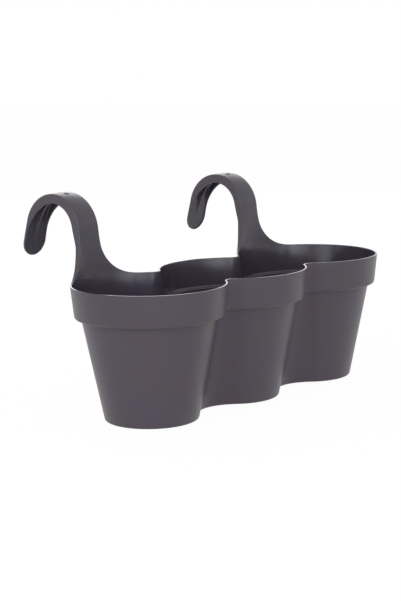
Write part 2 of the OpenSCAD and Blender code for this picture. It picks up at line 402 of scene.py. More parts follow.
def wall_tree():
    """Geometry Nodes tree that sweeps a wall's section round three pots that run together"""
    tree = bpy.data.node_groups.new("Wall round three pots", "GeometryNodeTree")
    for name, kind in (("Section", "NodeSocketGeometry"), ("Pot spacing", "NodeSocketFloat"),
                       ("Rim radius", "NodeSocketFloat"), ("Waist fillet", "NodeSocketFloat"),
                       ("Outer finish", "NodeSocketMaterial"), ("Inner finish", "NodeSocketMaterial")):
        tree.interface.new_socket(name, in_out="INPUT", socket_type=kind)
    tree.interface.new_socket("Wall", in_out="OUTPUT", socket_type="NodeSocketGeometry")
    given = add(tree, "NodeGroupInput").outputs
    place = add(tree, "GeometryNodeInputPosition")
    carried = {name: add(tree, "GeometryNodeInputNamedAttribute", {"data_type": kind}, {"Name": name})
               for name, kind in CARRIED.items()}

    # Angle at which a pot's arc hands over to a waist's fillet, where that fillet's centre is,
    # and the start and sweep of each arc
    found = {"spacing": given["Pot spacing"], "rim": given["Rim radius"],
             "waist": given["Waist fillet"]}
    for name, operation, *operands in (
            ("half", "MULTIPLY", "spacing", 0.5),
            ("reach", "ADD", "rim", "waist"),
            ("cosine", "DIVIDE", "half", "reach"),
            ("turn", "ARCCOSINE", "cosine"),
            ("sine", "SINE", "turn"),
            ("across", "MULTIPLY", "reach", "sine"),
            ("half back", "MULTIPLY", "half", -1),
            ("turn back", "MULTIPLY", "turn", -1),
            ("end start", "ADD", "turn", -math.pi),
            ("end sweep", "MULTIPLY_ADD", "turn", -2, 2 * math.pi),
            ("side sweep", "MULTIPLY_ADD", "turn", -2, math.pi),
            ("waist sweep", "MULTIPLY_ADD", "turn", 2, -math.pi)):
        found[name] = add(tree, "ShaderNodeMath", {"operation": operation},
                          {i: found.get(operand, operand) for i, operand in enumerate(operands)})

    # Half of the outline, each point keeping the direction that leads out of the wall
    arcs = []
    for stations, side, *measures in (
            (END_STATIONS, 1.0, "spacing", 0.0, "rim", "end start", "end sweep"),
            (WAIST_STATIONS, -1.0, "half", "across", "waist", "turn back", "waist sweep"),
            (SIDE_STATIONS, 1.0, 0.0, 0.0, "rim", "turn", "side sweep"),
            (WAIST_STATIONS, -1.0, "half back", "across", "waist", "turn back", "waist sweep")):
        x, y, radius, start, sweep = [found.get(measure, measure) for measure in measures]
        arc = add(tree, "GeometryNodeCurveArc", {"mode": "RADIUS"},
                  {"Resolution": stations, "Radius": radius, "Start Angle": start,
                   "Sweep Angle": sweep})
        away = add(tree, "ShaderNodeVectorMath", {"operation": "NORMALIZE"}, {0: place})
        facing = add(tree, "ShaderNodeVectorMath", {"operation": "SCALE"}, {0: away, "Scale": side})
        kept = add(tree, "GeometryNodeStoreNamedAttribute", {"data_type": "FLOAT_VECTOR"},
                   {"Geometry": arc, "Name": "outward", "Value": facing})
        centre = add(tree, "ShaderNodeCombineXYZ", {}, {0: x, 1: y})
        arcs.append(add(tree, "GeometryNodeTransform", {},
                        {"Geometry": kept, "Translation": centre}))
    first = add(tree, "GeometryNodeJoinGeometry", {}, {0: arcs})

    # The other half is the first one turned round, with its directions turned as well
    turned = add(tree, "GeometryNodeTransform", {},
                 {"Geometry": first, "Rotation": (0.0, 0.0, math.pi)})
    opposite = add(tree, "ShaderNodeVectorMath", {"operation": "SCALE"},
                   {0: carried["outward"], "Scale": -1.0})
    second = add(tree, "GeometryNodeStoreNamedAttribute", {"data_type": "FLOAT_VECTOR"},
                 {"Geometry": turned, "Name": "outward", "Value": opposite})
    outline = add(tree, "GeometryNodeJoinGeometry", {}, {0: [first, second]})
    strands = add(tree, "GeometryNodeCurveToMesh", {}, {"Curve": outline})
    welded = add(tree, "GeometryNodeMergeByDistance", {}, {"Geometry": strands, "Distance": WELD})
    ring = add(tree, "GeometryNodeMeshToCurve", {}, {"Mesh": welded})
    path = add(tree, "GeometryNodeStoreNamedAttribute", {"data_type": "FLOAT_VECTOR"},
               {"Geometry": ring, "Name": "station", "Value": place})

    # The section's points keep how far out and how high they lie
    spans = add(tree, "ShaderNodeSeparateXYZ", {}, {0: place}).outputs
    section = given["Section"]
    for name, span in (("offset", spans[0]), ("height", spans[1])):
        section = add(tree, "GeometryNodeStoreNamedAttribute", {"data_type": "FLOAT"},
                      {"Geometry": section, "Name": name, "Value": span})
    profile = add(tree, "GeometryNodeMeshToCurve", {}, {"Mesh": section})

    # Sweep, with every point then set by its station, its direction and its place in the section
    swept = add(tree, "GeometryNodeCurveToMesh", {}, {"Curve": path, "Profile Curve": profile})
    out = add(tree, "ShaderNodeVectorMath", {"operation": "SCALE"},
              {0: carried["outward"], "Scale": carried["offset"]})
    lift = add(tree, "ShaderNodeCombineXYZ", {}, {2: carried["height"]})
    spot = carried["station"]
    for move in (out, lift):
        spot = add(tree, "ShaderNodeVectorMath", {"operation": "ADD"}, {0: spot, 1: move})
    placed = add(tree, "GeometryNodeSetPosition", {}, {"Geometry": swept, "Position": spot})
    smooth = add(tree, "GeometryNodeSetShadeSmooth", {}, {"Geometry": placed})
    real = add(tree, "GeometryNodeRealizeInstances", {}, {"Geometry": smooth})
    outer = add(tree, "GeometryNodeSetMaterial", {},
                {"Geometry": real, "Material": given["Outer finish"]})
    # The inner faces take the inner finish, whose darker colour is painted shade.
    inner = add(tree, "GeometryNodeSetMaterial", {},
                {"Geometry": outer, "Selection": carried["inner"], "Material": given["Inner finish"]})
    add(tree, "NodeGroupOutput", {}, {0: inner})
    return tree


def apply_tree(piece, tree, values):
    """Runs a Geometry Nodes tree on a piece and leaves its result as a plain mesh"""
    modifier = piece.modifiers.new("Shape", "NODES")
    modifier.node_group = tree
    for item in tree.interface.items_tree:
        if item.in_out == "INPUT" and item.name in values:
            modifier[item.identifier] = values[item.name]
    view = bpy.context.evaluated_depsgraph_get()
    result = bpy.data.meshes.new_from_object(piece.evaluated_get(view))
    piece.modifiers.remove(modifier)
    piece.data = result


def new_piece(name, vertices=(), edges=(), faces=()):
    """A new object at the origin with a mesh of its own"""
    mesh = bpy.data.meshes.new(name)
    mesh.from_pydata(vertices, edges, faces)
    piece = bpy.data.objects.new(name, mesh)
    bpy.context.scene.collection.objects.link(piece)
    return piece


def swept_wall(name, section, closed, s):
    """A wall with the given section, swept round the three pots"""
    count = len(section)
    edges = [(i, (i + 1) % count) for i in range(count if closed else count - 1)]
    piece = new_piece(name, [(r - RIM_R, z, 0.0) for r, z, _ in section], edges)
    kept = piece.data.attributes.new("inner", "BOOLEAN", "POINT")
    kept.data.foreach_set("value", [bool(inner) for _, _, inner in section])
    apply_tree(piece, wall_tree(), {
        "Pot spacing": PITCH, "Rim radius": RIM_R, "Waist fillet": s.waist,
        "Outer finish": finish("outside"), "Inner finish": finish("inside")})
    for attribute in CARRIED:
        piece.data.attributes.remove(piece.data.attributes[attribute])
    return piece


def settle(piece, shape):
    """Welds a closed shape, turns its faces outwards, shades it smooth and puts it into its piece"""
    bmesh.ops.remove_doubles(shape, verts=shape.verts[:], dist=WELD)
    bmesh.ops.dissolve_degenerate(shape, edges=shape.edges[:], dist=WELD)
    bmesh.ops.recalc_face_normals(shape, faces=shape.faces[:])
    open_edges = [edge for edge in shape.edges if not edge.is_manifold]
    if open_edges:
        raise RuntimeError(f"{piece.name} has {len(open_edges)} open edges")
    for face in shape.faces:
        face.smooth = True
    for edge in shape.edges:
        edge.smooth = edge.calc_face_angle() < CREASE
    shape.to_mesh(piece.data)
    shape.free()
    for point in piece.data.vertices:
        if not all(math.isfinite(c) for c in point.co):
            raise RuntimeError(f"{piece.name} has a point that isn't a number")


def join_rings(shape, rings, material=0):
    """Makes the faces between each ring of points and the next"""
    for low, high in zip(rings, rings[1:]):
        for i in range(len(low)):
            j = (i + 1) % len(low)
            face = shape.faces.new((low[i], low[j], high[j], high[i]))
            face.material_index = material


# Points round each turned part
TURN_POINTS = 48


def turn_profile(shape, profile, centre, material=0):
    """Turns the (radius, height, inner) points of a profile about an upright axis through centre"""
    rings = []
    for radius, z, _ in profile:
        ring = []
        for i in range(TURN_POINTS):
            angle = 2 * math.pi * i / TURN_POINTS
            ring.append(shape.verts.new((centre[0] + radius * math.cos(angle),
                                         centre[1] + radius * math.sin(angle), z)))
        rings.append(ring)
    join_rings(shape, rings, material)


def round_depth(inset, radius):
    """How far a rounded edge lies under its flat face, at a distance in from its edge"""
    if inset >= radius:
        return 0.0
    return radius - math.sqrt(radius ** 2 - (radius - inset) ** 2)


def ease(value, low, high):
    """Runs smoothly from 0 at low to 1 at high"""
    t = min(1.0, max(0.0, (value - low) / (high - low)))
    return t * t * (3 - 2 * t)


# Drain rings: rounding of their edges, hollow fillet round their foot, and the width of floor
# that is turned along with them
RING_EDGE = 0.5 * MM
RING_FILLET = 1 * MM
RING_MARGIN = 2 * MM


def make_trough():
    """The open trough: swept walls, a ring round each drain hole, and its floor's two faces"""
    s = planter_sizes()
    piece = swept_wall("moulded_trough", trough_section(s), False, s)
    ring_top = s.floor + s.drain_rise
    ring_out = s.drain_radius + s.drain_ring
    drain = rounded([
        (s.drain_radius + RING_MARGIN, BASE_RECESS, 0, 0),
        (s.drain_radius, BASE_RECESS, RING_EDGE, 0),
        (s.drain_radius, ring_top, RING_EDGE, 0),
        (ring_out, ring_top, RING_EDGE, 0),
        (ring_out, s.floor, RING_FILLET, 0),
        (ring_out + RING_MARGIN, s.floor, 0, 0)], closed=False)
    shape = bmesh.new()
    shape.from_mesh(piece.data)
    # The drain rings and the floor's top take the inside finish, whose darker colour is painted shade.
    # The recess under the base takes the outside finish.
    for x in PLACES.values():
        turn_profile(shape, drain, (x, DRAIN_Y), 1)
    bmesh.ops.remove_doubles(shape, verts=shape.verts[:], dist=WELD)
    for height, material in ((s.floor, 1), (BASE_RECESS, 0)):
        rim = [edge for edge in shape.edges if edge.is_boundary
               and all(abs(v.co.z - height) < WELD for v in edge.verts)]
        filled = bmesh.ops.triangle_fill(shape, use_beauty=True, edges=rim, normal=(0, 0, 1))
        for face in filled["geom"]:
            if isinstance(face, bmesh.types.BMFace):
                face.material_index = material
    settle(piece, shape)
    return piece


def make_collar():
    """The collar: a swept wall whose lip turns up into the flares of the hooks' feet"""
    s = planter_sizes()
    piece = swept_wall("moulded_rim_collar", collar_section(s), True, s)
    shape = bmesh.new()
    shape.from_mesh(piece.data)
    foot_half = s.arm_width / 2 + s.flare
    lip = max(s.lip_inner, s.lip_outer)
    for point in shape.verts:
        hook_x = math.copysign(PITCH, point.co.x)
        dx = point.co.x - hook_x
        side = foot_half - abs(dx)
        inset = RIM_Z - point.co.z
        if side <= 0 or point.co.y < 0 or inset > lip + WELD:
            continue
        radius = math.hypot(dx, point.co.y)
        depth = radius - (RIM_R - s.wall)
        height = RIM_Z + s.flare - math.sqrt(max(0.0, (s.flare + inset) ** 2 - side ** 2))
        if height > RIM_Z:
            height = RIM_Z
            reached = math.hypot(side, s.flare) - s.flare
            if depth < s.wall / 2:
                depth = round_depth(reached, s.lip_inner)
            else:
                depth = s.wall - round_depth(reached, s.lip_outer)
        grown = (RIM_R - s.wall + depth) / radius
        point.co = (hook_x + dx * grown, point.co.y * grown, height)
    settle(piece, shape)
    return piece


class Row:
    """One row of points across a hook's arm, from its outer skin inwards.

    Its base and the direction inwards are (y, z). It follows the rim's round by a share. On the
    foot, flare is the radius of the edge's round and the height reached on it. Round the tip's
    end, fan is the angle turned."""

    def __init__(self, base, inward, depth, half, skin, flange, front_edge, back_edge, crown,
                 follow, rib=0.0, flare=None, fan=None):
        self.base = Vector(base)
        self.inward = Vector(inward)
        self.depth = depth
        self.half = half
        self.skin = skin
        self.flange = flange
        self.front_edge = front_edge
        self.back_edge = back_edge
        self.crown = crown
        self.follow = follow
        self.rib = rib
        self.flare = flare
        self.fan = fan

    def edge(self, inset):
        """Half width of the arm at a distance in from its edge"""
        if self.flare:
            radius, rise = self.flare
            return self.half - math.sqrt(max(0.0, (radius + inset) ** 2 - (radius - rise) ** 2))
        return self.half - inset

    def point(self, inset, share, depth, lean):
        """Point at a share of the half width, at a depth under the skin, as (x, y, z)"""
        x = self.edge(inset) * share
        spot = self.base + self.inward * depth
        if self.fan is not None:
            down = x * math.sin(self.fan) / math.cos(lean)
            x = x * math.cos(self.fan)
            spot = spot + Vector((math.sin(lean), -math.cos(lean))) * down
        y, z = spot
        bowed = math.sqrt(max(0.0, y * y - x * x))
        return (x, y + (bowed - y) * self.follow, z)


# Shares of the half width at which the flat faces of an arm carry their points
FACE_SHARES = (0.3, 0.5, 0.72, 0.9)
# Points over the rib's half width, up to this far beside it, and the columns of faces on each
# side of the middle that make room for the fixing hole
CENTRE_COUNT = 7
RIB_MARGIN = 0.6 * MM
WINDOW_COLUMNS = CENTRE_COUNT + 1
# Roundings in the arm's channel, smaller where it gets shallow: flanges' edges, hollow fillets,
# the rib's edges and the fillets at its root
FLANGE_LIP = 0.5 * MM
CHANNEL_FILLET = 1.6 * MM
RIB_EDGE = 0.8 * MM
RIB_ROOT = 1.2 * MM
# Half of the rib's top is this much narrower than the rib
RIB_TAPER = 0.5 * MM


def quarter(count):
    """Sines and cosines of evenly spaced angles from 0 to 90 degrees"""
    angles = [math.pi / 2 * j / (count - 1) for j in range(count)]
    return [(math.sin(angle), math.cos(angle)) for angle in angles]


def arm_columns(row, s):
    """Half of the arm's section as (inset, share, depth, inner), from the front round to the back"""
    front = row.front_edge
    back = row.back_edge
    channel = row.depth - row.skin
    lip = min(FLANGE_LIP, channel * 0.4)
    fillet = min(CHANNEL_FILLET, channel * 0.5)
    rib_half = s.rib / 2
    rib_side = rib_half + RIB_MARGIN
    rib_edge = min(RIB_EDGE, row.rib * 0.4)
    root = min(RIB_ROOT, row.rib * 0.4)
    shares = [rib_side * i / (CENTRE_COUNT - 1) / row.edge(front) for i in range(CENTRE_COUNT)]
    columns = [(front, share, row.crown * share ** 2, 1) for share in (*shares, *FACE_SHARES)]
    for sine, cosine in quarter(5):
        columns.append((front * (1 - sine), 1.0, row.crown + front * (1 - cosine), int(sine < 0.5)))
    columns.append((0.0, 1.0, (row.crown + front + row.depth - back) / 2, 0))
    for sine, cosine in quarter(5):
        columns.append((back * (1 - cosine), 1.0, row.depth - back * (1 - sine), 0))
    for sine, cosine in quarter(4):
        columns.append((row.flange - lip * (1 - sine), 1.0, row.depth - lip * (1 - cosine), 1))
    for sine, cosine in quarter(5):
        columns.append((row.flange + fillet * (1 - cosine), 1.0, row.skin + fillet * (1 - sine), 1))
    inset = row.flange + fillet
    face = row.edge(inset)
    columns += [(inset, share, row.skin, 1) for share in reversed(FACE_SHARES)]
    top = row.skin + row.rib
    for x, depth in ((rib_side, row.skin),
                     (rib_half + root * 0.3, row.skin + root * 0.3),
                     (rib_half, row.skin + root),
                     (rib_half, top - rib_edge),
                     (rib_half - rib_edge * 0.3, top - rib_edge * 0.3),
                     (rib_half - RIB_TAPER, top),
                     (0.0, top)):
        columns.append((inset, x / face, depth, 1))
    return columns


# Angles round the crest at which the flanges' edges and the rib's top leave its round
FLANGE_LEAVE = math.radians(64)
RIB_LEAVE = math.radians(33.5)
# The arm's back is fuller by up to this much over its root, which is this high
ROOT_BULGE = 2.2 * MM
ROOT_HEIGHT = 36 * MM
# Rows of points up the foot's flare, up the straight arm, round the crest, down the tip and
# round the tip's end
FLARE_ROWS = 18
ARM_ROWS = 9
CREST_ROWS = 60
TIP_ROWS = 18
END_ROWS = 16
# On the way to the tip the arm gets thinner from this angle round the crest on, until this far
# down the tip, and this share of that is reached at the end of the crest
THIN_FROM = math.radians(60)
THIN_LENGTH = 16 * MM
CREST_THIN = 0.4
# Thickness of a flange at the tip, and how much thinner the skin is there
TIP_FLANGE = 1.5 * MM
TIP_SKIN = 0.5 * MM
# Up to this height over the rim the arm's face follows the rim's round. Above that it flattens
# to this crown, and its edges get rounder by this much.
FOLLOW_HEIGHT = 10 * MM
FACE_CROWN = 0.5 * MM
EDGE_GAIN = 0.9 * MM


def hook_rows(s):
    """Rows of a hook's arm, from its foot on the rim over the crest to the round tip"""
    lean = s.tip_lean
    centre = Vector((CREST_Y, CREST_Z - s.crest_radius))
    inner_r = s.crest_radius - s.crest_depth
    rib_r = inner_r + s.rib_recess
    rim_in = Vector((RIM_R - s.wall, RIM_Z))
    rim_out = Vector((RIM_R, RIM_Z))
    angles = []
    for start, radius in ((rim_in, s.crest_radius), (rim_out, inner_r)):
        gap = start - centre
        angles.append(2 * math.pi + math.atan2(gap.y, gap.x) - math.acos(radius / gap.length))
    skin_angle, flange_angle = angles
    foot_half = s.arm_width / 2 + s.flare
    tip_axis = RIM_Z + s.tip_height + s.arm_width / 2

    def ray(angle):
        """Direction at an angle round the crest, as (y, z)"""
        return Vector((math.cos(angle), math.sin(angle)))

    def half_width(z):
        """Half of the arm's width at a height"""
        share = max(0.0, (z - tip_axis) / (CREST_Z - tip_axis))
        return (s.arm_width + (s.crest_width - s.arm_width) * share) / 2

    def sweep(radius, leave):
        """Shift and angle of the wider sweep that takes an edge from the crest to the flat tip"""
        turn = leave - lean
        return (s.crest_radius - s.tip_plate - radius) / (1 - math.cos(turn)), turn

    def crest_depth(radius, leave, angle):
        """Depth of an edge under the skin at an angle round the crest"""
        shift, _ = sweep(radius, leave)
        gap = max(0.0, leave - angle)
        across = shift * math.sin(gap)
        reach = math.sqrt((radius + shift) ** 2 - across ** 2) - shift * math.cos(gap)
        return s.crest_radius - reach

    def tip_depth(radius, leave, along):
        """Depth of an edge under the skin at a distance down the straight tip"""
        shift, turn = sweep(radius, leave)
        left = max(0.0, shift * math.sin(turn) - along)
        reach = math.sqrt((radius + shift) ** 2 - left ** 2) - shift * math.cos(turn)
        return s.crest_radius - reach

    def more(z, thin=0.0, follow=None):
        """Finer sizes of a row at height z, thinned by a share towards the tip"""
        bow = 1 - ease(z, RIM_Z + FOLLOW_HEIGHT, centre.y) if follow is None else follow
        return {"follow": bow, "crown": FACE_CROWN * (1 - bow) * (1 - 0.5 * thin),
                "front_edge": s.lip_inner + EDGE_GAIN * (1 - bow),
                "back_edge": s.lip_outer * (1 - 0.25 * thin),
                "flange": s.flange + (TIP_FLANGE - s.flange) * thin,
                "skin": s.skin - TIP_SKIN * thin}

    def level_row(z, inward, flare=None):
        """A row of the rising arm, whose inner end lies on the line of the flanges' edges"""
        along = ray(skin_angle - math.pi / 2)
        base = rim_in + along * (z - RIM_Z) / along.y
        normal = ray(flange_angle)
        depth = (inner_r - (base - centre).dot(normal)) / inward.dot(normal)
        depth += ROOT_BULGE * math.sin(math.pi * min(1.0, (z - RIM_Z) / ROOT_HEIGHT))
        sizes = more(z)
        sizes["skin"] = min(s.skin, depth)
        return Row(base, inward, depth, foot_half if flare else half_width(z), flare=flare, **sizes)

    rows = []
    for i in range(FLARE_ROWS + 1):
        rise = s.flare * (1 - math.cos(math.pi / 2 * i / FLARE_ROWS))
        rows.append(level_row(RIM_Z + rise, Vector((1, 0)), (s.flare, rise)))
    touch = centre + s.crest_radius * ray(skin_angle)
    low = RIM_Z + s.flare
    for i in range(1, ARM_ROWS):
        t = i / ARM_ROWS
        rows.append(level_row(low + (touch.y - low) * t, ray((skin_angle - math.pi) * t)))
    for i in range(CREST_ROWS + 1):
        angle = skin_angle + (lean - skin_angle) * i / CREST_ROWS
        base = centre + s.crest_radius * ray(angle)
        if angle > flange_angle:
            depth = s.crest_radius - inner_r / math.cos(angle - flange_angle)
        else:
            depth = crest_depth(inner_r, FLANGE_LEAVE, angle)
        sizes = more(base.y, CREST_THIN * (1 - ease(angle, lean, THIN_FROM)))
        rib_depth = crest_depth(rib_r, RIB_LEAVE, angle)
        rib = rib_depth - sizes["skin"] if angle < math.pi / 2 else 0.0
        rows.append(Row(base, -ray(angle), depth, half_width(base.y), rib=rib, **sizes))
    start = centre + s.crest_radius * ray(lean)
    down = Vector((math.sin(lean), -math.cos(lean)))
    tip_length = (start.y - tip_axis) / math.cos(lean)
    shift, turn = sweep(rib_r, RIB_LEAVE)
    rib_end = shift * math.sin(turn)
    for i in range(1, TIP_ROWS + 1):
        t = tip_length * i / TIP_ROWS
        base = start + down * t
        sizes = more(base.y, CREST_THIN + (1 - CREST_THIN) * ease(t, 0, THIN_LENGTH), 0.0)
        fade = (s.tip_plate - sizes["skin"]) * min(1.0, t / rib_end)
        rib = max(0.0, tip_depth(rib_r, RIB_LEAVE, t) - sizes["skin"] - fade)
        rows.append(Row(base, -ray(lean), tip_depth(inner_r, FLANGE_LEAVE, t),
                        half_width(base.y), rib=rib, **sizes))
    for i in range(1, END_ROWS + 1):
        rows.append(Row(start + down * tip_length, -ray(lean), s.tip_plate, s.arm_width / 2,
                        fan=math.pi / 2 * i / END_ROWS, **more(tip_axis, 1.0, 0.0)))
    return rows


# Rounding of the fixing hole's edges, reach of the ring of points round them, and the rows of
# faces on each side of its middle that make room for it
HOLE_EDGE = 0.4 * MM
HOLE_RING = 1.5 * HOLE_EDGE
WINDOW_ROWS = 3


def make_hook(side):
    """One hook: a channelled arm with a rib under its skin, and a fixing hole through its crest"""
    s = planter_sizes()
    hook_x = PLACES[side]
    rows = hook_rows(s)
    sections = [arm_columns(row, s) for row in rows]
    last = len(sections[0]) - 1
    count = 2 * last
    shape = bmesh.new()
    grid = []
    for row, section in zip(rows, sections):
        right = [row.point(*column[:3], s.tip_lean) for column in section]
        left = [(-x, y, z) for x, y, z in reversed(right[1:-1])]
        grid.append([shape.verts.new((hook_x + x, y, z)) for x, y, z in right + left])
    inner = [column[3] for column in sections[0]]
    inner = inner + inner[-2:0:-1]

    # The patch round the fixing hole, left open on both faces of the skin
    crest_z = CREST_Z - s.crest_radius
    hole_angle = math.acos((FIXING_Y - CREST_Y) / s.crest_radius)

    def off_hole(i):
        """Angle round the crest between a row and the fixing hole"""
        y, z = rows[i].base
        return abs(math.atan2(z - crest_z, y - CREST_Y) - hole_angle) if z > crest_z else math.inf

    middle = min(range(len(rows)), key=off_hole)
    top = middle - WINDOW_ROWS
    base = middle + WINDOW_ROWS + 1
    front = list(range(-WINDOW_COLUMNS, WINDOW_COLUMNS + 1))
    back = [last + k for k in reversed(front)]
    windows = {(i, k % count) for i in range(top, base) for k in front[:-1]}
    windows |= {(i, k) for i in range(top, base) for k in range(back[-1], back[0])}
    # Faces of the arm towards the pots, in its channel and round the fixing hole take the inside
    # finish, whose darker colour is painted shade.
    for i in range(len(grid) - 1):
        for k in range(count):
            if (i, k) in windows:
                continue
            n = (k + 1) % count
            face = shape.faces.new((grid[i][k], grid[i][n], grid[i + 1][n], grid[i + 1][k]))
            face.material_index = int(inner[k] and inner[n])
    shape.faces.new(list(reversed(grid[0])))

    def border(columns):
        """Points round a window, in order"""
        loop = [grid[top][k % count] for k in columns]
        loop += [grid[i][columns[-1] % count] for i in range(top + 1, base)]
        loop += [grid[base][k % count] for k in reversed(columns)]
        loop += [grid[i][columns[0] % count] for i in range(base - 1, top, -1)]
        return loop

    outer_loop = border(front)
    inner_loop = border(back)
    hole = Vector((hook_x, FIXING_Y))
    rays = [(point.co.xy - hole).normalized() for point in outer_loop]
    skin = rows[middle].skin
    crown = rows[middle].crown
    face_half = rows[middle].edge(rows[middle].front_edge)

    def ring(radius, under, drop):
        """Ring of points round the hole, on the skin or under it"""
        points = []
        for direction in rays:
            spot = hole + direction * radius
            sag = crown * ((spot.x - hook_x) / face_half) ** 2 if under == 0 else 0.0
            height = math.sqrt((s.crest_radius - under - sag) ** 2 - (spot.y - CREST_Y) ** 2)
            points.append(shape.verts.new((*spot, crest_z + height - drop)))
        return points

    arcs = [(FIXING_R + HOLE_EDGE * (1 - sine), HOLE_EDGE * (1 - cosine))
            for sine, cosine in quarter(5)]
    loops = [outer_loop, ring(FIXING_R + HOLE_RING, 0, 0)]
    loops += [ring(radius, 0, drop) for radius, drop in arcs]
    loops += [ring(radius, skin, -drop) for radius, drop in reversed(arcs)]
    loops += [ring(FIXING_R + HOLE_RING, skin, 0), inner_loop]
    join_rings(shape, loops, 1)
    piece = new_piece(f"moulded_{side}_hook")
    for key in ("outside", "inside"):
        piece.data.materials.append(finish(key))
    settle(piece, shape)
    return piece


# Plugs: wall of the hollow shank, height and depth of its tapered end, height of the shank's
# top that is solid, and the width and drop of the head's dome
SHANK_WALL = 1.6 * MM
TAPER_HEIGHT = 1.2 * MM
TAPER_DEPTH = 0.5 * MM
SHANK_TOP = 1 * MM
DOME_WIDTH = 4 * MM
DOME_DROP = 0.3 * MM
# Grip: its share of the head's width, the rounding of its edges in steps, the round of its
# upper corners, and how far it is sunk into the head
GRIP_SHARE = 0.7
GRIP_BEAD = 0.7 * MM
BEAD_STEPS = 8
GRIP_CORNER = 3 * MM
GRIP_SUNK = 0.6 * MM


def make_plug(side):
    """One push-in plug: a domed head on a hollow shank, with an upright grip"""
    s = planter_sizes()
    x = PLACES[side]
    shank_r = s.drain_radius - s.plug_fit
    seat = s.floor + s.drain_rise
    top = seat + s.plug_head
    hollow = shank_r - SHANK_WALL
    profile = rounded([
        (0.0, seat - SHANK_TOP, 0, 0),
        (hollow - 0.4 * MM, seat - SHANK_TOP, 0.8 * MM, 0),
        (hollow, PLUG_LOW.z, 0.3 * MM, 0),
        (shank_r - TAPER_DEPTH, PLUG_LOW.z, 0.2 * MM, 0),
        (shank_r, PLUG_LOW.z + TAPER_HEIGHT, 0.4 * MM, 0),
        (shank_r, seat, 0, 0),
        (PLUG_HEAD_R, seat, 0.4 * MM, 0),
        (PLUG_HEAD_R, top - DOME_DROP, 0.8 * MM, 0),
        (PLUG_HEAD_R - DOME_WIDTH, top, 2 * MM, 0),
        (0.0, top, 0, 0)], closed=False)
    shape = bmesh.new()
    turn_profile(shape, profile, (x, DRAIN_Y))
    piece = new_piece(f"moulded_{side}_drain_plug")
    piece.data.materials.append(finish("rubber"))

    # The grip is a slab with a rounded outline and rounded edges
    half = PLUG_HEAD_R * GRIP_SHARE
    height = PLUG_HIGH.z
    outline = rounded([
        (-half, top - GRIP_SUNK, 0, 0), (-half, height, GRIP_CORNER, 0),
        (half, height, GRIP_CORNER, 0), (half, top - GRIP_SUNK, 0, 0)], closed=False)
    rings = []
    for j in range(BEAD_STEPS + 1):
        angle = math.pi * j / BEAD_STEPS - math.pi / 2
        inset = GRIP_BEAD * (1 - math.cos(angle))
        flat = s.plug_grip / 2 - GRIP_BEAD if 2 * j != BEAD_STEPS else 0.0
        y = DRAIN_Y + math.copysign(flat, angle) + GRIP_BEAD * math.sin(angle)
        ring = []
        for px, pz, _ in outline:
            cx = math.copysign(max(0.0, abs(px) - inset), px)
            ring.append(shape.verts.new((x + cx, y, min(pz, height - inset))))
        rings.append(ring)
    join_rings(shape, rings)
    shape.faces.new(rings[0])
    shape.faces.new(list(reversed(rings[-1])))
    settle(piece, shape)
    return piece


class PLANTER_OT_trough(bpy.types.Operator):
    """Make the trough of three joined pots"""
    bl_idname = "planter.trough"
    bl_label = "Trough"

    def execute(self, context):
        piece = make_trough()
        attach(piece, "planter")
        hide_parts("trough")
        return {"FINISHED"}


class PLANTER_OT_collar(bpy.types.Operator):
    """Make the collar round the rim"""
    bl_idname = "planter.collar"
    bl_label = "Rim collar"

    def execute(self, context):
        piece = make_collar()
        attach(piece, "planter")
        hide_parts("rim_collar")
        return {"FINISHED"}


class PLANTER_OT_hooks(bpy.types.Operator):
    """Make the two railing hooks"""
    bl_idname = "planter.hooks"
    bl_label = "Railing hooks"

    def execute(self, context):
        for side in ("left", "right"):
            piece = make_hook(side)
            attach(piece, "planter")
            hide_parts(f"{side}_hook")
        return {"FINISHED"}


class PLANTER_OT_plugs(bpy.types.Operator):
    """Make the three push-in drain plugs"""
    bl_idname = "planter.plugs"
    bl_label = "Drain plugs"

    def execute(self, context):
        for side in PLACES:
            piece = make_plug(side)
            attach(piece, f"{side}_plug")
            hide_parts(f"{side}_drain_plug")
        return {"FINISHED"}


def seen_directly(tree):
    """1 for what the camera sees itself, in a reflection or through something clear, else 0"""
    seen = add(tree, "ShaderNodeLightPath").outputs
    direct = seen["Is Camera Ray"]
    for ray in ("Is Glossy Ray", "Is Transmission Ray"):
        direct = add(tree, "ShaderNodeMath", {"operation": "MAXIMUM"}, {0: direct, 1: seen[ray]})
    return direct


# Share and strength of the floor's glow where it is seen directly. The strength makes up for
# what the matt part lacks of white.
GLOW_SHARE = 0.93
GLOW_STRENGTH = 1.03
WHITE = (1, 1, 1, 1)


def pale_floor():
    """Matt white studio floor, shown white to the camera with the object's shadow kept faint"""
    material = bpy.data.materials.new("Matt white studio floor")
    tree = emptied(material)
    paper = add(tree, "ShaderNodeBsdfDiffuse", {}, {"Color": linear("#f4f4f4")})
    glow = add(tree, "ShaderNodeEmission", {}, {"Color": WHITE, "Strength": GLOW_STRENGTH})
    share = add(tree, "ShaderNodeMath", {"operation": "MULTIPLY"},
                {0: seen_directly(tree), 1: GLOW_SHARE})
    mixed = add(tree, "ShaderNodeMixShader", {}, {0: share, 1: paper, 2: glow})
    add(tree, "ShaderNodeOutputMaterial", {}, {"Surface": mixed})
    return material


# Strength of the world where it only lights the object
WORLD_LIGHT = 0.5


def white_world():
    """Soft even light, shown white to the camera and in reflections"""
    world = bpy.data.worlds.new("Soft white studio")
    tree = emptied(world)
    strength = add(tree, "ShaderNodeMapRange", {},
                   {"Value": seen_directly(tree), "To Min": WORLD_LIGHT, "To Max": 1.0})
    light = add(tree, "ShaderNodeBackground", {}, {"Color": WHITE, "Strength": strength})
    add(tree, "ShaderNodeOutputWorld", {}, {"Surface": light})
    return world


# Camera that stands where the photograph was taken from
VIEW_AZIMUTH = math.radians(49.55)
VIEW_HEIGHT = math.radians(9.54)
VIEW_ROLL = math.radians(-1.015)
VIEW_DISTANCE = 1.767
VIEW_TARGET = Vector((-0.05823, 0.0, 0.11969))
VIEW_LENS = 93.47
SENSOR_WIDTH = 36.0


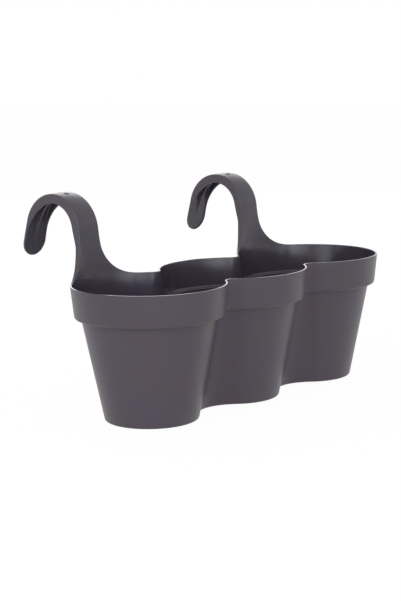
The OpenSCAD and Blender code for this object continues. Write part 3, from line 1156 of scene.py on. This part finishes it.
def photo_camera():
    """Camera at the photograph's angle, distance and framing"""
    forward = Vector((math.sin(VIEW_AZIMUTH) * math.cos(VIEW_HEIGHT),
                      math.cos(VIEW_AZIMUTH) * math.cos(VIEW_HEIGHT), -math.sin(VIEW_HEIGHT)))
    level = Vector((math.cos(VIEW_AZIMUTH), -math.sin(VIEW_AZIMUTH), 0.0))
    upright = level.cross(forward)
    right = level * math.cos(VIEW_ROLL) + upright * math.sin(VIEW_ROLL)
    up = upright * math.cos(VIEW_ROLL) - level * math.sin(VIEW_ROLL)
    data = bpy.data.cameras.new("Photo camera")
    data.lens = VIEW_LENS
    data.sensor_width = SENSOR_WIDTH
    camera = bpy.data.objects.new("Photo camera", data)
    bpy.context.scene.collection.objects.link(camera)
    turned = Matrix((right, up, -forward)).transposed().to_4x4()
    camera.matrix_world = Matrix.Translation(VIEW_TARGET - forward * VIEW_DISTANCE) @ turned
    bpy.context.scene.camera = camera


# Soft boxes of the studio: name, place, width, height, power in watts and colour
SOFT_BOXES = (
    ("Front soft box", (-0.98, -1.92, 0.45), 2.7, 0.7, 8.4, "#f2f6ff"),
    ("Left soft box", (-2.14, -0.18, 0.75), 1.8, 1.1, 5.2, "#e6eeff"),
    ("High soft box", (-1.75, -0.85, 1.25), 1.6, 0.8, 9.0, "#ffffff"),
    ("Back soft box", (1.35, 1.5, 0.95), 2.4, 1.0, 12.0, "#ffffff"),
    ("Right screen", (1.9, -1.15, 0.5), 1.8, 1.0, 1.2, "#f0f4ff"))
LIGHT_AIM = Vector((0.0, 0.0, 0.1))
# Each soft box is this many lamps of growing width, one behind the other down to this depth,
# because lamps in one plane would count only once in reflections
LIGHT_STEPS = 5
LIGHT_DEPTH = 50 * MM


def soft_light(name, place, width, height, power, tone):
    """A large soft box at a place, aimed at the planter, its light fading towards its two ends"""
    towards = (LIGHT_AIM - Vector(place)).normalized()
    facing = towards.to_track_quat("-Z", "Y").to_matrix().to_4x4()
    shares = [(i + 1) / LIGHT_STEPS for i in range(LIGHT_STEPS)]
    for share in shares:
        data = bpy.data.lights.new(name, "AREA")
        data.shape = "RECTANGLE"
        data.size = width * share
        data.size_y = height
        data.energy = power * share / sum(shares)
        data.color = linear(tone)[:3]
        light = bpy.data.objects.new(name, data)
        bpy.context.scene.collection.objects.link(light)
        spot = Vector(place) - towards * share * LIGHT_DEPTH
        light.matrix_world = Matrix.Translation(spot) @ facing


# The floor reaches this far from the middle to each side
FLOOR_REACH = 6.0


class PLANTER_OT_stage(bpy.types.Operator):
    """Make the pale floor, the soft studio light and the camera"""
    bl_idname = "planter.stage"
    bl_label = "Stage"

    def execute(self, context):
        corners = [(x * FLOOR_REACH, y * FLOOR_REACH, 0)
                   for x, y in ((-1, -1), (1, -1), (1, 1), (-1, 1))]
        floor = new_piece("studio_floor", corners, (), [(0, 1, 2, 3)])
        floor.data.materials.append(pale_floor())
        context.scene.world = white_world()
        for box in SOFT_BOXES:
            soft_light(*box)
        photo_camera()
        context.scene.view_settings.view_transform = "Standard"
        return {"FINISHED"}


class PLANTER_PT_panel(bpy.types.Panel):
    """Sidebar panel with one button for each group of pieces"""
    bl_label = "Balcony planter"
    bl_idname = "PLANTER_PT_panel"
    bl_space_type = "VIEW_3D"
    bl_region_type = "UI"
    bl_category = "Planter"

    def draw(self, context):
        for operator in OPERATORS:
            self.layout.operator(operator.bl_idname)
        for group in (context.scene.planter_sizes, context.scene.planter_finish):
            box = self.layout.box()
            for name in group.__annotations__:
                box.prop(group, name)


OPERATORS = (PLANTER_OT_trough, PLANTER_OT_collar, PLANTER_OT_hooks, PLANTER_OT_plugs,
             PLANTER_OT_stage)
CLASSES = (PlanterSizes, PlanterFinish, *OPERATORS, PLANTER_PT_panel)


def register():
    for cls in CLASSES:
        bpy.utils.register_class(cls)
    bpy.types.Scene.planter_sizes = PointerProperty(type=PlanterSizes)
    bpy.types.Scene.planter_finish = PointerProperty(type=PlanterFinish)


def unregister():
    del bpy.types.Scene.planter_finish
    del bpy.types.Scene.planter_sizes
    for cls in reversed(CLASSES):
        bpy.utils.unregister_class(cls)


def main():
    register()
    bpy.ops.planter.trough()
    bpy.ops.planter.collar()
    bpy.ops.planter.hooks()
    bpy.ops.planter.plugs()
    bpy.ops.planter.stage()


if __name__ == "__main__":
    main()
